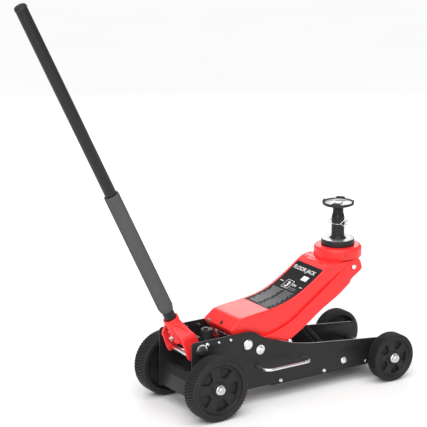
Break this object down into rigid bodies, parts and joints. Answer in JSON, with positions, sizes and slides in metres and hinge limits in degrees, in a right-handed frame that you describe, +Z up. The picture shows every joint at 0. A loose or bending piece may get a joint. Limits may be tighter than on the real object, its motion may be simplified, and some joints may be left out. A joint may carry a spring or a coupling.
{
  "type": "hydraulic floor jack",
  "caption": "Low trolley jack on wheels with a red lift arm, a raised saddle on a pinned extension post, side grab bars, skid plate and a long pump handle with a foam sleeve.",
  "frame": {"origin": "on the floor, under the middle of the whole jack's box", "axes": "+X towards the saddle end, +Y to the jack's left, +Z up out of the saddle"},
  "size_m": [1.3967, 0.378, 1.3852],
  "materials": {
    "black_paint": "semi-gloss powder coat",
    "red_paint": "gloss powder coat",
    "zinc": "bright zinc plate",
    "steel": "ground steel",
    "cast_iron": "black painted casting",
    "wheel_composite": "moulded composite, satin",
    "foam": "closed-cell foam",
    "plastic": "satin moulded",
    "spring_steel": "bright drawn wire"
  },
  "bodies": {
    "chassis": {"side_plate_right": "black_paint", "side_plate_left": "black_paint", "skid_plate": "black_paint", "rear_cross_panel": "black_paint", "front_spacer_rod": "zinc", "stop_bolt_right": "zinc", "stop_bolt_left": "zinc", "grab_handle_right": "zinc", "grab_handle_left": "zinc", "front_axle": "steel", "rear_axle": "steel", "front_axle_nut_right": "zinc", "front_axle_nut_left": "zinc", "rear_axle_nut_right": "zinc", "rear_axle_nut_left": "zinc", "pump_block": "cast_iron", "oil_reservoir": "cast_iron", "oil_filler_plug": "zinc", "cylinder_trunnion_pin": "steel", "link_anchor_pin_right": "steel", "link_anchor_pin_left": "steel", "handle_pivot_bolt_right": "zinc", "handle_pivot_bolt_left": "zinc", "return_spring_right": "spring_steel", "return_spring_left": "spring_steel", "pump_spring": "spring_steel"},
    "lift_arm": {"lift_arm_shell": "red_paint", "arm_plate_right": "red_paint", "arm_plate_left": "red_paint", "lift_arm_shaft": "zinc", "ram_pin": "steel", "arm_front_pin": "zinc", "spring_rod": "steel"},
    "saddle_yoke": {"saddle_yoke": "red_paint", "leveling_pin_front": "steel"},
    "leveling_links": {"leveling_link_right": "steel", "leveling_link_left": "steel"},
    "ram_cylinder": {"ram_cylinder": "cast_iron"},
    "ram": {"ram_rod": "steel", "ram_piston": "steel"},
    "saddle": {"saddle_base": "black_paint", "extension_post": "black_paint", "saddle_dish": "cast_iron"},
    "lock_pin": {"lock_pin": "zinc"},
    "lock_pin_bail": {"lock_pin_bail": "spring_steel"},
    "handle_socket": {"handle_socket": "red_paint", "socket_clamp_bolt": "zinc", "pump_roller": "zinc", "roller_pin": "steel"},
    "handle": {"handle_lower_tube": "black_paint", "handle_upper_tube": "black_paint", "handle_foam_sleeve": "foam", "handle_end_cap": "plastic"},
    "release_valve": {"release_valve_stem": "steel"},
    "pump_plunger": {"pump_plunger": "steel"},
    "front_wheel_right": {"front_wheel_right": "wheel_composite"},
    "front_wheel_left": {"front_wheel_left": "wheel_composite"},
    "rear_wheel_right": {"rear_wheel_right": "wheel_composite"},
    "rear_wheel_left": {"rear_wheel_left": "wheel_composite"}
  },
  "joints": [
    {"name": "lift_arm_raise", "type": "hinge", "parent": "chassis", "child": "lift_arm", "pos_m": [0.072, 0, 0.2095], "axis": [0, -1, 0], "range_deg": [-32, 21.8], "deforming": ["return_spring_right", "return_spring_left"]},
    {"name": "saddle_level", "type": "hinge", "parent": "lift_arm", "child": "saddle_yoke", "pos_m": [0.5086, 0, 0.397], "axis": [0, -1, 0], "range_deg": [-22, 32.2]},
    {"name": "leveling_swing", "type": "hinge", "parent": "chassis", "child": "leveling_links", "pos_m": [0.07, 0, 0.1735], "axis": [0, -1, 0], "range_deg": [-32.2, 22]},
    {"name": "cylinder_swing", "type": "hinge", "parent": "chassis", "child": "ram_cylinder", "pos_m": [0.0066, 0, 0.104], "axis": [0, -1, 0], "range_deg": [-17.4, 11.9]},
    {"name": "ram_swing", "type": "hinge", "parent": "lift_arm", "child": "ram", "pos_m": [0.2046, 0, 0.18], "axis": [0, -1, 0], "range_deg": [-10.2, 14.9]},
    {"name": "saddle_swivel", "type": "hinge", "parent": "saddle_yoke", "child": "saddle", "pos_m": [0.5031, 0, 0.442], "axis": [0, 0, 1], "continuous": true},
    {"name": "lock_pin_slide", "type": "slide", "parent": "saddle", "child": "lock_pin", "axis": [0.7071, -0.7071, 0], "range_m": [0, 0.055]},
    {"name": "bail_swing", "type": "hinge", "parent": "lock_pin", "child": "lock_pin_bail", "pos_m": [0.52502, -0.02192, 0.533], "axis": [0, 0, 1], "range_deg": [-0.5, 127]},
    {"name": "handle_pump", "type": "hinge", "parent": "chassis", "child": "handle_socket", "pos_m": [-0.1063, 0, 0.223], "axis": [0, -1, 0], "range_deg": [-21, 39]},
    {"name": "handle_twist", "type": "hinge", "parent": "handle_socket", "child": "handle", "pos_m": [-0.11348, 0, 0.21948], "axis": [-0.4399, 0, 0.898], "range_deg": [0, 120]},
    {"name": "release_valve_turn", "type": "hinge", "parent": "chassis", "child": "release_valve", "pos_m": [-0.0854, 0, 0.222], "axis": [-1, 0, 0], "range_deg": [-0.5, 120.5]},
    {"name": "pump_stroke", "type": "slide", "parent": "chassis", "child": "pump_plunger", "axis": [0.9848, 0, -0.1736], "range_m": [-0.0112, 0.0206], "deforming": ["pump_spring"]},
    {"name": "front_wheel_right_roll", "type": "hinge", "parent": "chassis", "child": "front_wheel_right", "pos_m": [0.6166, -0.15, 0.082], "axis": [0, 1, 0], "continuous": true},
    {"name": "front_wheel_left_roll", "type": "hinge", "parent": "chassis", "child": "front_wheel_left", "pos_m": [0.6166, 0.15, 0.082], "axis": [0, 1, 0], "continuous": true},
    {"name": "rear_wheel_right_roll", "type": "hinge", "parent": "chassis", "child": "rear_wheel_right", "pos_m": [-0.0854, -0.15, 0.1075], "axis": [0, 1, 0], "continuous": true},
    {"name": "rear_wheel_left_roll", "type": "hinge", "parent": "chassis", "child": "rear_wheel_left", "pos_m": [-0.0854, 0.15, 0.1075], "axis": [0, 1, 0], "continuous": true}
  ],
  "couplings": [
    {"joint": "saddle_level", "follows": "lift_arm_raise", "ratio": -1},
    {"joint": "leveling_swing", "follows": "lift_arm_raise", "ratio": 1},
    {"joint": "cylinder_swing", "follows": "lift_arm_raise", "ratio": 0.538},
    {"joint": "ram_swing", "follows": "lift_arm_raise", "ratio": -0.462},
    {"joint": "bail_swing", "follows": "lock_pin_slide", "rad_per_m": 40},
    {"joint": "release_valve_turn", "follows": "handle_twist", "ratio": 1},
    {"joint": "pump_stroke", "follows": "handle_pump", "m_per_rad": 0.0298}
  ]
}
